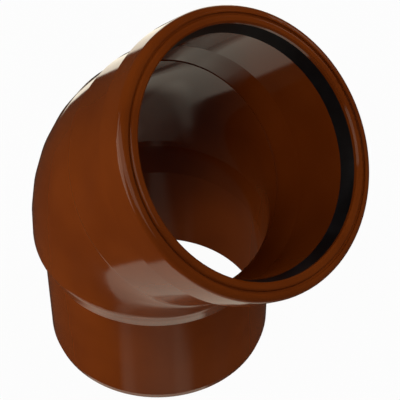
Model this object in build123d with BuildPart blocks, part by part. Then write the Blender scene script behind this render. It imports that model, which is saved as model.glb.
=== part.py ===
from build123d import *
import os
from math import atan, cos, radians, sin, tan

os.makedirs("parts", exist_ok=True)

# A push-fit drain bend that stands on its plain spigot, with its socket turned up and to +X.
# The origin is the centre of the spigot's end face, and +Z is the spigot's axis.

pipe_diameter = 160.0  # outside of the pipes that it joins, and of its own spigot
bend_angle = 45.0

# Spigot
spigot_length = 82.0  # from its end to the shoulder
spigot_wall = 4.7
spigot_chamfer_length = 5.0
spigot_chamfer_angle = 15.0

# Body, from its cone-shaped shoulder round the bend to the socket
body_height = 6.6  # how far it stands out from the spigot
shoulder_length = 16.5  # from the spigot out to the body
shoulder_round = 12.0
seam_distance = 9.0  # from the spigot to the fine step that the mould leaves round the shoulder
seam_step = 0.35
body_run = 2.4664  # from the shoulder to the start of the bend's turn
body_wall = 8.85
body_crease = 1.6  # radius left at the inside of the bend, under the socket
bore_crease = 2.25  # the same, of the bore
bore_cone_length = 25.0  # widens the spigot's bore into the bend's
bore_cone_setback = 5.5  # from the end of that cone to the start of the bore's turn

# Socket, along its own axis from the end of the bend
neck_length = 2.0  # from the bend to the ramp that leads out to the socket
ramp_length = 4.5
ledge_setback = 0.4  # from the end of the bore's turn to the ledge at the seat's narrow end
ledge_height = 0.6
seat_length = 22.0  # of the tapered seat that stops the pipe
socket_clearance = 2.2  # between the pipe and the wider part of the socket
socket_wall = 6.2
socket_depth = 85.5  # from the ledge to the mouth

# Flange round the mouth, with a rolled lip and a narrow channel in its face
flange_length = 25.7
flange_height = 5.6  # how far it stands out from the socket
flange_slope_length = 3.6
mouth_clearance = 1.5  # between the pipe and the mouth
mouth_bevel = 1.2
lip_width = 5.6
lip_round = 2.2
channel_width = 1.4
channel_depth = 1.8
rim_step = 0.6  # how far the rim lies below the lip
rim_flat = 0.5  # left between the channel and the rim's rounding

# Sealing ring and its groove in the flange
groove_wall = 4.6  # left outside the groove
groove_length = 14.5
groove_front_wall = 3.6  # left between the groove and the mouth
ring_gap = 0.3  # all round, between the ring and the groove
ring_grip = 1.5  # how far the ring's lip stands in from the pipe's surface
ring_lip_setback = 14.2  # from the mouth to the lip's tip
ring_lip_thickness = 2.2
ring_bead_depth = 6.0  # of the hollow behind the lip, from the ring's front

# Radii that follow
pipe_radius = pipe_diameter / 2
spigot_bore_radius = pipe_radius - spigot_wall
chamfer_inset = spigot_chamfer_length * tan(radians(spigot_chamfer_angle))
body_radius = pipe_radius + body_height
seam_radius = pipe_radius + body_height * seam_distance / shoulder_length
bore_radius = body_radius - body_wall
ledge_radius = bore_radius + ledge_height
socket_bore_radius = pipe_radius + socket_clearance
socket_radius = socket_bore_radius + socket_wall
flange_radius = socket_radius + flange_height
mouth_radius = pipe_radius + mouth_clearance
lip_radius = mouth_radius + lip_width
channel_radius = lip_radius + channel_width
rim_round = flange_radius - rim_flat - channel_radius
groove_radius = flange_radius - groove_wall

# Heights up to the body's turn, and to where the spigot's axis and the socket's axis cross
half_bend = radians(bend_angle) / 2
seam_height = spigot_length + seam_distance
shoulder_end = spigot_length + shoulder_length
body_turn_radius = body_radius + body_crease
body_turn_length = body_turn_radius * tan(half_bend)
body_turn_height = shoulder_end + body_run
crossing_height = body_turn_height + body_turn_length

# The bend's directions, and the profile planes of the spigot and the socket
crossing = Vector(0, 0, crossing_height)
socket_direction = Vector(sin(2 * half_bend), 0, cos(2 * half_bend))
across_socket = Vector(cos(2 * half_bend), 0, -sin(2 * half_bend))
socket_axis = Axis(origin=crossing, direction=socket_direction)
spigot_profile_plane = Plane.XZ
socket_profile_plane = Plane(origin=crossing, x_dir=across_socket, z_dir=(0, -1, 0))

# Where the shoulder's rounding starts on its cone and ends on the body
shoulder_slope = atan(body_height / shoulder_length)
shoulder_blend = shoulder_round * tan(shoulder_slope / 2)
round_start = (
    body_radius - shoulder_blend * sin(shoulder_slope),
    shoulder_end - shoulder_blend * cos(shoulder_slope),
)
round_end = (body_radius, shoulder_end + shoulder_blend)

# The bore's turn: how far from the crossing it starts and ends
bore_turn_radius = bore_radius + bore_crease
bore_turn_length = bore_turn_radius * tan(half_bend)
bore_turn_height = crossing_height - bore_turn_length
bore_cone_end = bore_turn_height - bore_cone_setback

# Distances along the socket's axis from the crossing
ramp_start = body_turn_length + neck_length
ramp_end = ramp_start + ramp_length
ledge_distance = bore_turn_length + ledge_setback
seat_end = ledge_distance + seat_length
mouth_distance = ledge_distance + socket_depth
flange_start = mouth_distance - flange_length
rim_face = mouth_distance - rim_step
channel_floor = mouth_distance - channel_depth
groove_front = mouth_distance - groove_front_wall
groove_back = groove_front - groove_length
cut_past = 1.0  # how far a cut runs past the face that it opens


with BuildPart() as elbow_body:
    # Spigot and shoulder as one turned profile, up to the bend
    with BuildSketch(spigot_profile_plane):
        with BuildLine():
            Polyline(
                round_start,
                (seam_radius, seam_height),
                (seam_radius - seam_step, seam_height),
                (pipe_radius, spigot_length),
                (pipe_radius, spigot_chamfer_length),
                (pipe_radius - chamfer_inset, 0),
                (0, 0),
                (0, body_turn_height),
                (body_radius, body_turn_height),
                round_end,
            )
            RadiusArc(round_start, round_end, -shoulder_round)
        make_face()
    revolve(axis=Axis.Z)

    # Bend, so tight that its inside is all but a crease
    with BuildSketch(Plane.XY.offset(body_turn_height)):
        Circle(body_radius)
    revolve(
        axis=Axis(origin=(body_turn_radius, 0, body_turn_height), direction=(0, 1, 0)),
        revolution_arc=bend_angle,
    )

    # Neck, ramp, socket and flange, with the rim's round shoulder, the channel and the lip
    with BuildSketch(socket_profile_plane):
        with BuildLine():
            Polyline(
                (0, body_turn_length),
                (body_radius, body_turn_length),
                (body_radius, ramp_start),
                (socket_radius, ramp_end),
                (socket_radius, flange_start - flange_slope_length),
                (flange_radius, flange_start),
                (flange_radius, rim_face - rim_round),
            )
            RadiusArc(
                (flange_radius, rim_face - rim_round),
                (flange_radius - rim_round, rim_face),
                -rim_round,
            )
            Polyline(
                (flange_radius - rim_round, rim_face),
                (channel_radius, rim_face),
                (channel_radius, channel_floor),
                (lip_radius, channel_floor),
                (lip_radius, mouth_distance - lip_round),
            )
            RadiusArc(
                (lip_radius, mouth_distance - lip_round),
                (lip_radius - lip_round, mouth_distance),
                -lip_round,
            )
            Polyline(
                (lip_radius - lip_round, mouth_distance),
                (0, mouth_distance),
                (0, body_turn_length),
            )
        make_face()
    revolve(axis=socket_axis)

    # Bore from the spigot's end to the turn, with the cone that widens it into the bend
    with BuildSketch(spigot_profile_plane):
        with BuildLine():
            Polyline(
                (0, -cut_past),
                (spigot_bore_radius, -cut_past),
                (spigot_bore_radius, bore_cone_end - bore_cone_length),
                (bore_radius, bore_cone_end),
                (bore_radius, bore_turn_height),
                (0, bore_turn_height),
                (0, -cut_past),
            )
        make_face()
    revolve(axis=Axis.Z, mode=Mode.SUBTRACT)

    # The bore's turn
    with BuildSketch(Plane.XY.offset(bore_turn_height)):
        Circle(bore_radius)
    revolve(
        axis=Axis(origin=(bore_turn_radius, 0, bore_turn_height), direction=(0, 1, 0)),
        revolution_arc=bend_angle,
        mode=Mode.SUBTRACT,
    )

    # Socket's inside: ledge, tapered seat, straight bore, ring groove and bevelled mouth
    with BuildSketch(socket_profile_plane):
        with BuildLine():
            Polyline(
                (0, bore_turn_length),
                (bore_radius, bore_turn_length),
                (bore_radius, ledge_distance),
                (ledge_radius, ledge_distance),
                (socket_bore_radius, seat_end),
                (socket_bore_radius, groove_back),
                (groove_radius, groove_back),
                (groove_radius, groove_front),
                (mouth_radius, groove_front),
                (mouth_radius, mouth_distance - mouth_bevel),
                (mouth_radius + mouth_bevel + cut_past, mouth_distance + cut_past),
                (0, mouth_distance + cut_past),
                (0, bore_turn_length),
            )
        make_face()
    revolve(axis=socket_axis, mode=Mode.SUBTRACT)

elbow_body.part.label = "elbow_body"
export_step(elbow_body.part, "parts/elbow_body.step")


# Rubber ring in the groove, with a lip that leans in and back to grip a pipe
ring_radius = groove_radius - ring_gap
ring_front = groove_front - ring_gap
ring_back = groove_back + ring_gap
ring_throat_radius = mouth_radius + ring_gap
ring_lip_radius = pipe_radius - ring_grip
ring_lip_distance = mouth_distance - ring_lip_setback

with BuildPart() as sealing_ring:
    with BuildSketch(socket_profile_plane):
        with BuildLine():
            Polyline(
                (ring_radius, ring_back),
                (ring_radius, ring_front),
                (ring_throat_radius, ring_front),
                (ring_lip_radius, ring_lip_distance),
                (ring_lip_radius + ring_lip_thickness, ring_lip_distance),
                (ring_throat_radius + ring_lip_thickness, ring_front - ring_bead_depth),
                (socket_bore_radius + ring_gap, ring_back),
                (ring_radius, ring_back),
            )
        make_face()
    revolve(axis=socket_axis)

sealing_ring.part.label = "sealing_ring"
export_step(sealing_ring.part, "parts/sealing_ring.step")
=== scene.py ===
# %% [markdown]
# # A push-fit drain elbow in orange-brown PVC
# The real elbow is two pieces: a bend moulded in one shot of hard, glossy plastic, and a black rubber
# ring pressed into a groove behind its mouth. The CAD model already holds both, with every step and
# round at its own size, so nothing here moves or reshapes them. This lesson gives them their finish,
# and sets the floor, the light and the camera. All lengths are in metres.

import math

import bpy
import numpy as np
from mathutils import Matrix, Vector


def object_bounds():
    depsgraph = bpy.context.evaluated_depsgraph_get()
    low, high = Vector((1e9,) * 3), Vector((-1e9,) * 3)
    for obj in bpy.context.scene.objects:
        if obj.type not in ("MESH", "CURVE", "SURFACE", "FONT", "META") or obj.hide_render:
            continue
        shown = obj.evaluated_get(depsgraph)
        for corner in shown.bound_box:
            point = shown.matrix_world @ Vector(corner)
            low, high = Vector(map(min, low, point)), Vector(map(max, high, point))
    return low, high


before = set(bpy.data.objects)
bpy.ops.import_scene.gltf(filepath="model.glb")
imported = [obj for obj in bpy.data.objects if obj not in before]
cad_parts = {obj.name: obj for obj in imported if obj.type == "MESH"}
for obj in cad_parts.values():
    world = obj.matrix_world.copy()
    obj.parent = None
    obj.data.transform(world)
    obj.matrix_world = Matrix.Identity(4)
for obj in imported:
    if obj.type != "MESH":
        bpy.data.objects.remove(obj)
cad_low, cad_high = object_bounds()
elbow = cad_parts["elbow_body"]
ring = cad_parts["sealing_ring"]
scene = bpy.context.scene
print("elbow and ring reach from", [round(v, 4) for v in cad_low], "to", [round(v, 4) for v in cad_high])

# %% [markdown]
# ## Writing shader maths as sentences
# A finish is a graph of small nodes, and building one link at a time hides the idea. A `Wire` stands
# for one output of a node. Sums, products and quotients of wires add Math nodes by themselves, so a
# line of Python reads like the formula. Colours never pass through Math, which would turn them grey:
# they go through Mix nodes instead.


# %% A wire that does arithmetic
class Wire:
    """One output of a node. An expression on wires and numbers becomes a chain of Math nodes."""

    def __init__(self, finish, socket):
        self.finish = finish
        self.socket = socket

    def maths(self, operation, *values):
        """Adds one Math node of that operation, fed with the values in order."""
        return self.finish.node("ShaderNodeMath", {"operation": operation}, dict(enumerate(values)))

    def __add__(self, other):
        return self.maths("ADD", self, other)

    __radd__ = __add__

    def __mul__(self, other):
        return self.maths("MULTIPLY", self, other)

    __rmul__ = __mul__

    def __sub__(self, other):
        return self.maths("SUBTRACT", self, other)

    def __rsub__(self, other):
        return self.maths("SUBTRACT", other, self)

    def __truediv__(self, other):
        return self.maths("DIVIDE", self, other)

    def between(self, low, high):
        """0 below low, 1 above high, and a smooth step from one to the other."""
        settings = {"interpolation_type": "SMOOTHSTEP"}
        inputs = {"Value": self, "From Min": low, "From Max": high}
        return self.finish.node("ShaderNodeMapRange", settings, inputs)


# %% A finish that makes its own nodes
class Finish:
    """The node tree of a material or a world. `node` adds any node to it and returns a wire."""

    def __init__(self, owner):
        self.owner = owner
        self.owner.use_nodes = True
        self.tree = self.owner.node_tree
        self.tree.nodes.clear()

    def node(self, kind, settings=None, inputs=None, output=0):
        """Makes a node, sets its own choices first, then its sockets, by a value or by a link."""
        made = self.tree.nodes.new(kind)
        for name, choice in (settings or {}).items():
            setattr(made, name, choice)
        for name, value in (inputs or {}).items():
            if isinstance(value, Wire):
                self.tree.links.new(value.socket, made.inputs[name])
            else:
                made.inputs[name].default_value = value
        return Wire(self, made.outputs[output]) if made.outputs else None

    def noise(self, size, detail=3.0, stretch=(1.0, 1.0, 1.0)):
        """Cloudy noise from 0 to 1, whose lumps are about `size` across before the stretch. It is read
        at the point's own place on the object."""
        here = self.node("ShaderNodeTexCoord", output="Object")
        place = self.node("ShaderNodeMapping", inputs={"Vector": here, "Scale": stretch})
        inputs = {"Vector": place, "Scale": 1.0 / size, "Detail": detail}
        return self.node("ShaderNodeTexNoise", inputs=inputs)

    def blend(self, factor, first, second):
        """The first colour where factor is 0, and the second where it is 1. A Mix node has its two
        colours at sockets 6 and 7, and gives the blended colour at output 2."""
        inputs = {0: factor, 6: first, 7: second}
        return self.node("ShaderNodeMix", {"data_type": "RGBA"}, inputs, output=2)

    def bump(self, height, depth, under=None):
        """Tilts the surface as if `height`, from 0 to 1, were `depth` deep, on top of the bump under
        it."""
        inputs = {"Height": height, "Distance": depth, "Strength": 1.0}
        if under is not None:
            inputs["Normal"] = under
        return self.node("ShaderNodeBump", inputs=inputs)

    def skin(self, **inputs):
        """A surface shader. Each socket goes by its name, with underscores for the spaces."""
        named = {name.replace("_", " "): value for name, value in inputs.items()}
        return self.node("ShaderNodeBsdfPrincipled", inputs=named)

    def close(self, surface):
        """Joins a shader to the material's output."""
        self.node("ShaderNodeOutputMaterial", inputs={"Surface": surface})


def new_finish(name):
    """An empty finish on a new material of that name."""
    return Finish(bpy.data.materials.new(name))


print("helpers for the finishes are ready")

# %% [markdown]
# ## The moulded plastic
# PVC comes out of a polished mould almost mirror smooth, yet its colour and its shine are never quite
# even: the melt leaves faint clouds, the skin has a slight orange peel, and a fitting that has been
# handled carries hair-fine rubs and a little dust. All of it is noise that belongs to the object, so
# it stays put from every side.

# %% Colour, shine and relief of the elbow
plastic = new_finish("orange_brown_pvc")

melt_clouds = plastic.noise(0.055, detail=2.0)
fine_grain = plastic.noise(0.0035, detail=2.0)
orange_peel = plastic.noise(0.006, detail=1.0)
long_wave = plastic.noise(0.09, detail=0.0)
rubs = plastic.noise(0.03, detail=6.0, stretch=(1.0, 1.0, 0.12)).between(0.56, 0.72)
dust = plastic.noise(0.0012, detail=1.0).between(0.66, 0.80)

deep_brown = (0.158, 0.0275, 0.0022, 1.0)
warm_orange = (0.205, 0.0385, 0.0035, 1.0)
dust_grey = (0.27, 0.125, 0.065, 1.0)
clouded = plastic.blend(melt_clouds.between(0.3, 0.7), deep_brown, warm_orange)
grained = plastic.blend(fine_grain * 0.16, clouded, warm_orange)
dusted = plastic.blend(dust * 0.05, grained, dust_grey)

wave_depth = 0.0002
peel_depth = 0.000012
rub_depth = 0.000008
waves = plastic.bump(long_wave, wave_depth)
peeled = plastic.bump(orange_peel, peel_depth, under=waves)
relief = plastic.bump(rubs, rub_depth, under=peeled)

plastic.close(
    plastic.skin(
        Base_Color=dusted,
        Roughness=0.05 + 0.03 * melt_clouds + 0.08 * rubs + 0.02 * fine_grain,
        Normal=relief,
        IOR=1.5,
        Specular_IOR_Level=0.5,
    )
)
print("plastic has", len(plastic.tree.nodes), "nodes")

# %% [markdown]
# ## The rubber ring
# The ring is a dense black rubber, smooth from its mould and slightly dusty. It shines far less than the
# plastic, in a broad grey glow, and its skin has a fine, soft grain.

# %% Colour, shine and relief of the ring
rubber = new_finish("black_seal_rubber")

bloom = rubber.noise(0.018, detail=3.0)
skin_grain = rubber.noise(0.0016, detail=2.0)
black = (0.0045, 0.0045, 0.0050, 1.0)
bloomed_black = (0.012, 0.012, 0.013, 1.0)
grain_depth = 0.00002

rubber.close(
    rubber.skin(
        Base_Color=rubber.blend(bloom.between(0.35, 0.75), black, bloomed_black),
        Roughness=0.36 + 0.12 * bloom + 0.06 * skin_grain,
        Normal=rubber.bump(skin_grain, grain_depth),
        IOR=1.5,
        Specular_IOR_Level=0.35,
    )
)
print("rubber has", len(rubber.tree.nodes), "nodes")

# %% Put the finishes on the two pieces
for piece, finish in ((elbow, plastic), (ring, rubber)):
    for slot in piece.material_slots:
        slot.material = finish.owner
    print(piece.name, "wears", [slot.material.name for slot in piece.material_slots])

# %% [markdown]
# ## The floor
# The object stands on a plain white table that runs on past every edge of the picture. It is one flat
# grid, worked out as whole arrays. The camera sees it as plain white paper that keeps a faint, soft
# shadow of the object. The polished plastic would mirror so large a white sheet as a grey veil, so the
# table is left out of the gloss, and the world further down decides what the gloss shows. It lets light
# through from below as well, like the frosted glass of a light table.


# %% A flat grid
def flat_grid(name, half_width, height, cells):
    """Points (x, y, height) on an even grid: x and y each run from -half_width to half_width, and each
    cell is one quad whose corners go anticlockwise from above, so that it faces up."""
    line = np.linspace(-half_width, half_width, cells + 1)
    x, y = np.meshgrid(line, line, indexing="ij")
    points = np.stack([x, y, np.full_like(x, height)], axis=-1).reshape(-1, 3)
    corner = np.arange((cells + 1) ** 2).reshape(cells + 1, cells + 1)
    quads = np.stack([corner[:-1, :-1], corner[1:, :-1], corner[1:, 1:], corner[:-1, 1:]], axis=-1)
    mesh = bpy.data.meshes.new(name)
    mesh.from_pydata(points.tolist(), [], quads.reshape(-1, 4).tolist())
    made = bpy.data.objects.new(name, mesh)
    scene.collection.objects.link(made)
    return made


floor = flat_grid("white_table", half_width=6.0, height=cad_low.z, cells=12)
floor.visible_glossy = False
floor.visible_shadow = False
print("floor at", round(cad_low.z, 4), "with", len(floor.data.polygons), "cells")

# %% [markdown]
# The table's top is matt paper with a faint speckle. For the camera alone it is all but covered by an
# even white glow, as in a picture that was lit to leave the background blank.

# %% Finish of the floor
table = new_finish("white_table_top")
white = (1.0, 1.0, 1.0, 1.0)
paper_dark = (0.60, 0.60, 0.60, 1.0)
paper_light = (0.66, 0.66, 0.66, 1.0)
glow_share = 0.965

speckle = table.noise(0.02, detail=4.0)
paper = table.skin(
    Base_Color=table.blend(speckle, paper_dark, paper_light),
    Roughness=0.7 + 0.1 * speckle,
    Specular_IOR_Level=0.1,
)
glow = table.node("ShaderNodeEmission", inputs={"Color": white, "Strength": 1.0})
seen_by_camera = table.node("ShaderNodeLightPath", output="Is Camera Ray")
lit = {0: glow_share * seen_by_camera, 1: paper, 2: glow}
table.close(table.node("ShaderNodeMixShader", inputs=lit))
floor.data.materials.append(table.owner)
print("floor finish has", len(table.tree.nodes), "nodes")

# %% [markdown]
# ## Light
# Soft boxes give the plain, even light that shows the colour. One hangs high at the object's left, one
# high on the camera's side and one high behind, which lights the face of the mouth. Two shine up
# through the table: one at the underside of the bend, and a small one into the bore. All are kept out
# of the gloss. What the gloss mirrors is a dim studio with a few white panels in it, which the world
# paints by direction alone. That way each highlight can be put where the photograph has it, and the
# light on the colour stays as it is.


# %% Soft boxes
def soft_box(name, place, size, watts):
    """A rectangle of light at `place`, `size` across and up, turned to shine at the object's middle."""
    lamp = bpy.data.lights.new(name, "AREA")
    lamp.shape = "RECTANGLE"
    lamp.size, lamp.size_y = size
    lamp.energy = watts
    made = bpy.data.objects.new(name, lamp)
    made.location = place
    aim = (cad_low + cad_high) / 2 - Vector(place)
    made.rotation_euler = aim.to_track_quat("-Z", "Y").to_euler()
    made.visible_glossy = False
    scene.collection.objects.link(made)
    return made


boxes = [
    soft_box("left_box", (-1.0, -0.95, 1.1), size=(0.7, 0.9), watts=8.0),
    soft_box("camera_box", (0.35, -1.25, 1.25), size=(0.5, 0.9), watts=8.0),
    soft_box("mouth_box", (0.55, 1.00, 1.15), size=(0.6, 0.6), watts=7.0),
    soft_box("table_box", (-0.60, -0.80, -0.75), size=(0.7, 0.7), watts=8.0),
    soft_box("bore_box", (0.38, 0.25, -0.95), size=(0.4, 0.4), watts=3.0),
]
print("soft boxes:", [box.name for box in boxes])

# %% [markdown]
# ## The studio in the gloss
# A direction is a unit vector, and a panel is a rectangle that hangs one metre away, square to the
# direction f in which it lies. With the level vector r to its right and the vector u up it, a direction
# d meets its plane (d . r) / (d . f) to the right and (d . u) / (d . f) up. A soft step at each edge
# gives it the blurred rim of a real soft box, and a step in d . f keeps out whatever lies behind.


# %% A dim studio that panels are hung in
def unit(azimuth, elevation):
    """The direction at that azimuth from +X towards +Y and that elevation above level, in degrees."""
    turn, rise = math.radians(azimuth), math.radians(elevation)
    return Vector((math.cos(rise) * math.cos(turn), math.cos(rise) * math.sin(turn), math.sin(rise)))


class Studio(Finish):
    """The world's own node tree, which adds up the light of the panels that are hung in it."""

    def __init__(self, name, brightness):
        super().__init__(bpy.data.worlds.new(name))
        self.view = self.node("ShaderNodeTexCoord", output="Generated")
        self.light = brightness
        self.panels = []

    def along(self, vector):
        """How far the direction that is being looked up points along that vector."""
        inputs = {0: self.view, 1: tuple(vector)}
        return self.node("ShaderNodeVectorMath", {"operation": "DOT_PRODUCT"}, inputs, output="Value")

    def hang(self, name, facing, brightness, half, edge, middle=(0.0, 0.0), roll=0.0):
        """Adds a panel that is square to `facing`, an azimuth and an elevation. Its half sizes, soft
        edges and middle are lengths to the right and up as the object sees it, and roll turns it to the
        left about its middle, in degrees."""
        azimuth, elevation = facing
        ahead = unit(azimuth, elevation)
        right = unit(azimuth - 90.0, 0.0)
        up = right.cross(ahead)
        depth = self.along(ahead)
        safe_depth = depth.maths("MAXIMUM", depth, 0.01)
        offset_right = self.along(right) / safe_depth - middle[0]
        offset_up = self.along(up) / safe_depth - middle[1]
        turn = math.radians(roll)
        offsets = (
            offset_right * math.cos(turn) + offset_up * math.sin(turn),
            offset_up * math.cos(turn) - offset_right * math.sin(turn),
        )
        inside = depth.between(0.0, 0.05)
        for offset, limit, blur in zip(offsets, half, edge):
            inside = inside * (1.0 - offset.maths("ABSOLUTE", offset).between(limit - blur, limit))
        self.light = self.light + brightness * inside
        self.panels.append(name)


studio = Studio("dim_studio", brightness=0.03)
print("the studio reads", studio.view.socket.name, "for its directions")

# %% [markdown]
# The photograph's plastic mirrors one large soft panel below the object, which gives the bright bands
# under the socket and on the shoulder, and the pale patch inside the bend. Paler panels beside it leave
# the streaks down the spigot. Bright walls at the back and the left edge the body with light.

# %% Hang the panels
below = (90.0, -90.0)
studio.hang("table_light", below, 0.55, (0.42, 0.43), (0.20, 0.05), middle=(-0.17, -0.08), roll=-20.0)
studio.hang("table_glow", below, 0.11, (0.55, 0.65), (0.35, 0.35), middle=(0.30, -0.15))
studio.hang("table_wide", below, 0.12, (0.42, 0.40), (0.08, 0.10), middle=(0.38, -0.50))
studio.hang("left_strip", below, 0.16, (0.15, 0.50), (0.14, 0.30), middle=(0.10, -0.50))
studio.hang("right_strip", below, 0.14, (0.11, 0.20), (0.10, 0.16), middle=(0.68, -0.30))
studio.hang("back_wall", (135.0, -15.0), 1.6, (0.30, 0.36), (0.04, 0.04))
studio.hang("left_wall", (-128.0, 9.0), 1.2, (0.42, 0.44), (0.06, 0.06))
studio.hang("ceiling_box", (-75.0, 48.0), 0.7, (0.80, 0.30), (0.06, 0.06))
studio.hang("far_card", (70.0, 21.0), 0.7, (0.20, 0.14), (0.05, 0.05))
print("the gloss mirrors", studio.panels)

# %% [markdown]
# Only the gloss meets the panels, in a slightly warm white. The camera meets pure white, which is the
# blank background, and all other light meets an even, dim fill.

# %% What each kind of ray meets
to_camera = studio.node("ShaderNodeLightPath", output="Is Camera Ray")
to_gloss = studio.node("ShaderNodeLightPath", output="Is Glossy Ray")
fill = 0.10
warm_white = (1.0, 0.93, 0.76, 1.0)
off_camera = fill + to_gloss * (studio.light - fill)
strength = off_camera + to_camera * (1.0 - off_camera)
tint = studio.blend(to_gloss, white, warm_white)
sky = studio.node("ShaderNodeBackground", inputs={"Color": tint, "Strength": strength})
studio.node("ShaderNodeOutputWorld", inputs={"Surface": sky})
scene.world = studio.owner
print("the studio has", len(studio.tree.nodes), "nodes")

# %% [markdown]
# ## Camera
# The photograph was taken from above and to the right of the socket, with a long lens. The place, the
# angles and the lens were worked out from the round edges of the mouth, the ring and the spigot.

# %% The camera at the photograph's angle
camera_place = (0.48413, -0.51147, 0.84397)
camera_yaw = math.radians(40.94)
camera_pitch = math.radians(45.76)
lens_millimetres = 131.1
sensor_millimetres = 36.0

eye = bpy.data.cameras.new("photo_camera")
eye.sensor_width = sensor_millimetres
eye.lens = lens_millimetres
camera = bpy.data.objects.new("photo_camera", eye)
camera.location = camera_place
camera.rotation_euler = (math.pi / 2 - camera_pitch, 0.0, camera_yaw)
scene.collection.objects.link(camera)
scene.camera = camera
scene.view_settings.view_transform = "Standard"
print("camera looks down", round(math.degrees(camera_pitch), 1), "degrees")
